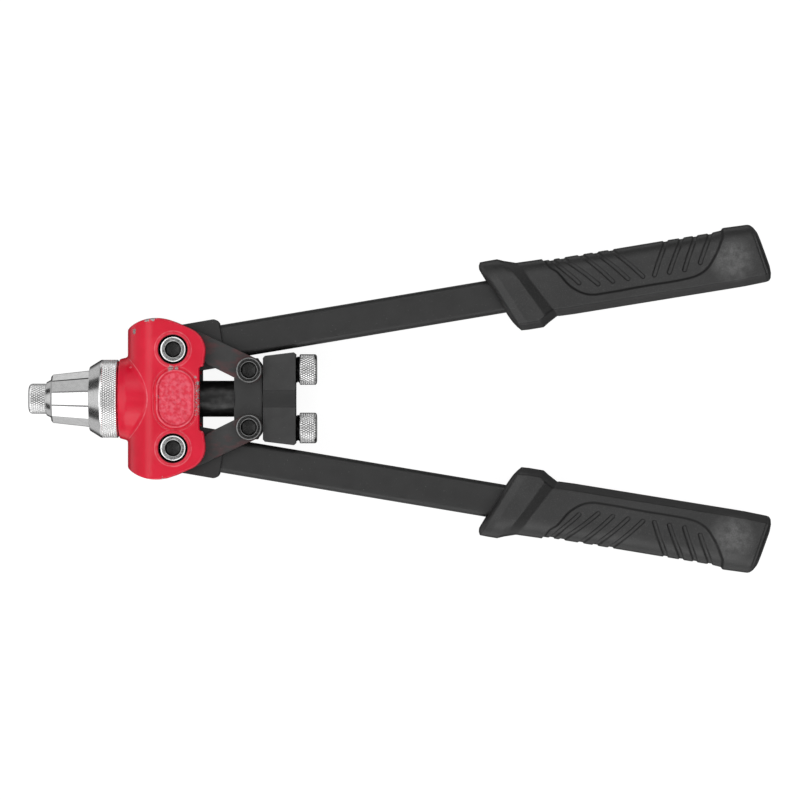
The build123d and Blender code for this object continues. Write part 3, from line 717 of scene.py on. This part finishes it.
def knurled_nickel(name, thread_end=None):
    """Plated knurl with painted shade in its grooves; the thread, up to thread_end, is painted near-black as
    shade.
    """
    s = Shader(name)
    groove = s.add("ShaderNodeAttribute", attribute_name="groove").outputs["Fac"]
    spots = s.noise(0.7, 4.0)
    plated = s.mix(s.ramp(spots, 0.35, 0.7), grey(0.92), grey(0.78))
    # Painted shade: the knurl's grooves are darkened with their depth
    groove_shade = s.ramp(groove, 0.32, 0.78, 0.0, 0.85)
    colour = s.mix(groove_shade, plated, grey(0.09))
    metallic = 1.0
    # Painted shade: the thread up to thread_end is coloured near-black
    if thread_end:
        along = s.add("ShaderNodeSeparateXYZ", {0: s.place}).outputs["X"]
        head = s.ramp(along, thread_end - 0.1 * MM, thread_end)
        colour = s.mix(head, grey(0.006), colour)
        metallic = s.ramp(head, 0.0, 1.0, 0.4, 1.0)
    dull = s.ramp(spots, 0.3, 0.7, 0.16, 0.26)
    return s.finish(Base_Color=colour, Metallic=metallic, Roughness=dull, Normal=s.bump(s.noise(0.2), 0.003))


def screw_finish(name, pin, face, edge, rim):
    """Socket-head screw: a dull face, a worn outer edge, the share rim of the same wear round the
    socket, and painted shade, near-black, in the socket."""
    s = Shader(name)
    radius = s.from_axis(pin)
    mottled = s.ramp(s.noise(0.7, 4.0), 0.35, 0.65)
    dull = s.mix(mottled, grey(face), grey(face * 2.4))
    outer = s.ramp(radius, 4.55 * MM, 4.63 * MM)
    inner = s.math("MULTIPLY", s.ramp(radius, 3.2 * MM, 3.3 * MM), s.ramp(radius, 3.58 * MM, 3.5 * MM))
    inner = s.math("MULTIPLY", inner, rim)
    uneven = s.ramp(s.noise(1.3, 3.0), 0.3, 0.5, 0.55, 1.0)
    patchy = s.math("MULTIPLY", s.math("MAXIMUM", outer, inner), uneven)
    colour = s.mix(patchy, dull, grey(edge))
    # Painted shade: the socket is coloured near-black
    socket = s.ramp(radius, 3.35 * MM, 3.25 * MM)
    colour = s.mix(socket, colour, grey(0.005))
    return s.finish(Base_Color=colour, Metallic=s.ramp(socket, 0.0, 1.0, 1.0, 0.2),
                    Roughness=s.ramp(mottled, 0.0, 1.0, 0.24, 0.38), Normal=s.bump(s.noise(0.25), 0.006))


def nut_finish():
    """Dull zinc plate with a faint grain."""
    s = Shader("nut_zinc")
    spots = s.noise(0.6, 4.0)
    return s.finish(Base_Color=s.mix(s.ramp(spots, 0.35, 0.7), grey(0.66), grey(0.48)), Metallic=1.0,
                    Roughness=s.ramp(spots, 0.3, 0.7, 0.25, 0.4), Normal=s.bump(s.noise(0.25), 0.008))


def black_steel(name, level, rough, scratch=(1.0, 0.05, 1.0)):
    """Blackened steel with faint drawn lines and rubbed patches."""
    s = Shader(name)
    lines = s.noise(0.25, 3.0, scratch)
    rubbed = s.noise(3.0, 4.0)
    colour = s.mix(s.ramp(rubbed, 0.45, 0.75), grey(level), grey(level * 2.2))
    blend = s.math("ADD", s.math("MULTIPLY", rubbed, 0.5), s.math("MULTIPLY", lines, 0.5))
    dull = s.ramp(blend, 0.3, 0.7, *rough)
    return s.finish(Base_Color=colour, Metallic=0.75, Roughness=dull, Normal=s.bump(lines, 0.01))


def black_paint(name, level, overspray=0.0, groove=0.0, rough=(0.38, 0.52)):
    """Satin black paint with orange peel and dust specks. The links have a haze of red overspray,
    and the holder's groove, of the half width given, is painted darker as shade."""
    s = Shader(name)
    broad = s.noise(6.0, 3.0)
    colour = s.mix(s.ramp(broad, 0.35, 0.7), grey(level), grey(level * 1.45))
    specks = s.ramp(s.noise(0.45, 2.0), 0.735, 0.76)
    colour = s.mix(s.math("MULTIPLY", specks, 0.5), colour, grey(0.30))
    if overspray:
        haze = s.ramp(s.noise(4.5, 4.0, (0.6, 1.2, 1.0)), 0.48, 0.70, 0.0, overspray)
        colour = s.mix(haze, colour, (0.16, 0.018, 0.022, 1))
    # Painted shade: the holder's groove is coloured darker
    if groove:
        across = s.add("ShaderNodeSeparateXYZ", {0: s.place}).outputs["Y"]
        shade = s.ramp(s.math("ABSOLUTE", across), (groove + 0.1) * MM, groove * MM, 0.0, 0.85)
        colour = s.mix(shade, colour, grey(0.003))
    peel = s.noise(0.7, 2.0)
    dull = s.ramp(broad, 0.3, 0.7, *rough)
    return s.finish(Base_Color=colour, Roughness=dull, Normal=s.bump(peel, 0.02))


def moulded_black():
    """Black moulded grip: spark-eroded grain, painted shade in its creases and a rubbed grey patch by the
    butt.
    """
    s = Shader("moulded_black")
    flow = s.noise(14.0, 2.0)
    grain = s.noise(0.42, 3.0)
    colour = s.mix(s.ramp(flow, 0.35, 0.7), grey(0.015), grey(0.022))
    colour = s.mix(s.ramp(grain, 0.56, 0.72, 0.0, 0.35), colour, grey(0.10))
    uneven = s.ramp(s.noise(3.0, 4.0), 0.35, 0.6, 0.35, 0.85)
    rubbed = s.math("MULTIPLY", s.ramp(s.from_axis(RUBBED_PATCH), 10.5 * MM, 4.0 * MM), uneven)
    z = s.add("ShaderNodeSeparateXYZ", {0: s.place}).outputs["Z"]
    rubbed = s.math("MULTIPLY", rubbed, s.ramp(s.math("ABSOLUTE", z), 7.5 * MM, 9.0 * MM))
    colour = s.mix(s.math("MULTIPLY", rubbed, s.ramp(grain, 0.30, 0.60, 0.5, 1.0)), colour, grey(0.125))
    crease = s.add("ShaderNodeAttribute", attribute_name="crease").outputs["Fac"]
    # Painted shade: the panel edges and the groove walls are coloured near-black
    colour = s.mix(s.math("MULTIPLY", crease, 0.9), colour, grey(0.002))
    rough = s.math("ADD", s.ramp(grain, 0.3, 0.7, 0.36, 0.50), s.math("MULTIPLY", crease, 0.3))
    return s.finish(Base_Color=colour, Roughness=rough, Normal=s.bump(grain, 0.05))


def finish_node(node, material):
    """Give a CAD node its material in every slot."""
    mesh = frame["nodes"][node].data
    mesh.materials.clear()
    mesh.materials.append(material)


def bevel_node(node, width_mm, angle=35):
    """Break a CAD node's sharp edges with a small rounded bevel."""
    piece = frame["nodes"][node]
    weld = piece.modifiers.new("weld", "WELD")
    weld.merge_threshold = 0.002 * MM
    flats = piece.modifiers.new("flats", "DECIMATE")
    flats.decimate_type = "DISSOLVE"
    flats.angle_limit = math.radians(0.5)
    bevel = piece.modifiers.new("bevel", "BEVEL")
    bevel.width = width_mm * MM
    bevel.segments = 3
    bevel.limit_method = "ANGLE"
    bevel.angle_limit = math.radians(angle)
    normals = piece.modifiers.new("normals", "WEIGHTED_NORMAL")
    normals.keep_sharp = False
    normals.weight = 100


# ---- Studio ----

def make_camera():
    camera = bpy.data.cameras.new("camera")
    camera.sensor_width = SENSOR
    camera.lens = SENSOR * CAMERA_HEIGHT / FRAME_WIDTH
    holder = bpy.data.objects.new("camera", camera)
    holder.location = ((cad_low.x + cad_high.x) / 2, VIEW_Y, CAMERA_HEIGHT)
    bpy.context.scene.collection.objects.link(holder)
    bpy.context.scene.camera = holder


def make_floor():
    """Plain pale floor under the tool."""
    size = 6.0
    level = cad_low.z - 0.3 * MM
    mesh = bpy.data.meshes.new("floor")
    corners = [(-size, -size, level), (size, -size, level), (size, size, level), (-size, size, level)]
    mesh.from_pydata(corners, [], [(0, 1, 2, 3)])
    floor = bpy.data.objects.new("floor", mesh)
    bpy.context.scene.collection.objects.link(floor)
    s = Shader("floor_white")
    tone = s.mix(s.ramp(s.noise(80.0), 0.3, 0.7), grey(0.15), grey(0.16))
    s.surface.inputs["Specular IOR Level"].default_value = 0.0
    s.surface.inputs["Emission Color"].default_value = grey(1.0)
    s.surface.inputs["Emission Strength"].default_value = 0.93
    mesh.materials.append(s.finish(Base_Color=tone, Roughness=0.9))
    floor.visible_diffuse = False
    floor.visible_glossy = False
    floor.visible_shadow = False


def make_sky():
    """Studio surround: even grey walls, with the soft LAMPS added and the dark FLAGS taken off."""
    world = bpy.data.worlds.new("studio")
    bpy.context.scene.world = world
    world.use_nodes = True
    tree = world.node_tree
    background = tree.nodes["Background"]
    direction = tree.nodes.new("ShaderNodeTexCoord").outputs["Generated"]

    def lobe(towards, inner, outer, strength):
        """Strength within an angle of a direction, falling to nothing at an outer angle."""
        dot = tree.nodes.new("ShaderNodeVectorMath")
        dot.operation = "DOT_PRODUCT"
        tree.links.new(direction, dot.inputs[0])
        dot.inputs[1].default_value = Vector(towards).normalized()
        ramp = tree.nodes.new("ShaderNodeMapRange")
        ramp.interpolation_type = "SMOOTHSTEP"
        ramp.inputs["From Min"].default_value = math.cos(math.radians(outer))
        ramp.inputs["From Max"].default_value = math.cos(math.radians(inner))
        ramp.inputs["To Max"].default_value = strength
        tree.links.new(dot.outputs["Value"], ramp.inputs["Value"])
        return ramp.outputs[0]

    def combine(operation, first, second):
        node = tree.nodes.new("ShaderNodeMath")
        node.operation = operation
        for socket, value in zip(node.inputs, (first, second)):
            if isinstance(value, bpy.types.NodeSocket):
                tree.links.new(value, socket)
            else:
                socket.default_value = value
        return node.outputs[0]

    light = combine("ADD", WALLS, 0.0)
    for towards, inner, outer, strength in LAMPS:
        light = combine("ADD", light, lobe(towards, inner, outer, strength))
    for towards, inner, outer, strength in FLAGS:
        kept = combine("SUBTRACT", 1.0, lobe(towards, inner, outer, strength))
        light = combine("MULTIPLY", light, kept)
    tree.links.new(light, background.inputs["Strength"])
    background.inputs["Color"].default_value = grey(1.0)


WALLS = 0.30
LAMPS = [
    # direction, inner and outer angle in degrees, strength; the second lamp cuts a hole in the first
    ((0.0, 0.0, 1.0), 46.0, 54.0, 1.35),
    ((0.0, 0.0, 1.0), 20.0, 26.0, -1.35),
    ((-0.28, 0.0, 0.96), 8.0, 12.0, 1.7),
    ((0.23, 0.0, 0.97), 5.0, 9.0, 1.6),
    ((-0.15, -0.86, 0.50), 15.0, 21.0, 1.8),
    ((-0.15, 0.86, 0.48), 12.0, 18.0, 0.40),
    ((-0.10, -0.86, -0.50), 16.0, 24.0, 0.46),
    ((-0.10, 0.86, -0.50), 9.0, 14.0, 0.58),
    ((-0.90, 0.0, 0.44), 18.0, 26.0, 0.14),
    ((-1.00, 0.0, -0.30), 50.0, 66.0, 0.20),
    ((0.0, -1.0, 0.0), 10.0, 25.0, 0.50),
]
FLAGS = [
    ((-0.83, 0.52, 0.16), 13.0, 16.0, 0.96),
    ((-0.83, -0.52, 0.16), 13.0, 16.0, 0.96),
    ((-0.22, 0.49, 0.84), 6.0, 9.0, 0.85),
    ((-0.22, -0.49, 0.84), 6.0, 9.0, 0.85),
    ((0.95, 0.0, 0.30), 34.0, 46.0, 0.88),
    ((0.0, 0.0, -1.0), 34.0, 48.0, 0.92),
    ((0.0, 1.0, 0.0), 8.0, 20.0, 0.85),
]


# ---- Assembly ----

def place(piece, body, slot, material, *nodes):
    piece.data.materials.clear()
    piece.data.materials.append(material)
    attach(piece, body)
    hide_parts(*nodes)


def main():
    make_camera()
    make_floor()
    make_sky()
    scene = bpy.context.scene
    scene.view_settings.view_transform = "Standard"

    place(make_casting(), "body", "red_paint", red_enamel(), "body_casting")
    nickel = satin_nickel()
    knurl_nickel = knurled_nickel("nickel_knurl")
    place(make_nose_housing(), "body", "polished_steel", nickel, "nose_housing")
    place(make_lock_ring(), "lock_ring", "polished_steel", knurl_nickel, "lock_ring")
    place(make_nosepiece(), "nosepiece", "polished_steel", knurl_nickel, "nosepiece")
    spare = knurled_nickel("spare_nickel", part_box("nosepiece_holder")[1].x + 1.6 * MM)
    plastic = moulded_black()
    for side in SIDES:
        node = "spare_nosepiece_" + side
        place(make_spare(side), node, "polished_steel", spare, node)
        place(make_grip(side), side + "_handle", "black_rubber", plastic, side + "_grip")

    pivot = (PIVOT_X, PIVOT_Y)
    link_pin = (LINK_PIN.x / MM, LINK_PIN.y / MM)
    screw = screw_finish("pivot_screw_zinc", pivot, 0.15, 0.92, 0.25)
    place(make_screws("pivot_screws", *pivot), "body", "polished_steel", screw, "pivot_screws")
    screw = screw_finish("link_screw_black", link_pin, 0.022, 0.19, 0.9)
    place(make_screws("link_screws", *link_pin), "puller", "black_steel", screw, "link_screws")
    finishes = {
        nut_finish(): ["pivot_nuts"],
        black_steel("rod_black", 0.026, (0.28, 0.40)): ["drawbar", "rod_guide_bush", "link_nuts"],
        black_steel("crank_black", 0.02, (0.3, 0.4)): ["right_crank_pin", "left_crank_pin"],
        black_steel("case_black", 0.03, (0.3, 0.45)): ["jaw_case", "jaw_1", "jaw_2", "jaw_3"],
        satin_nickel("spring_steel"): ["jaw_pusher", "jaw_spring"],
        black_paint("crosshead_black", 0.022): ["crosshead"],
        black_paint("holder_black", 0.022, groove=3.5): ["nosepiece_holder"],
        black_paint("link_black", 0.022, 0.4): [
            "right_link_front", "right_link_back", "left_link_front", "left_link_back",
        ],
        black_paint("handle_black", 0.010): [
            "right_handle_socket", "left_handle_socket", "right_handle_tube", "left_handle_tube",
        ],
    }
    for material, nodes in finishes.items():
        for node in nodes:
            finish_node(node, material)
    for node in ("crosshead", "nosepiece_holder"):
        bevel_node(node, 0.45)
    for side in SIDES:
        bevel_node(side + "_link_front", 0.3)
        bevel_node(side + "_link_back", 0.3)
        bevel_node(side + "_handle_socket", 0.5)


main()
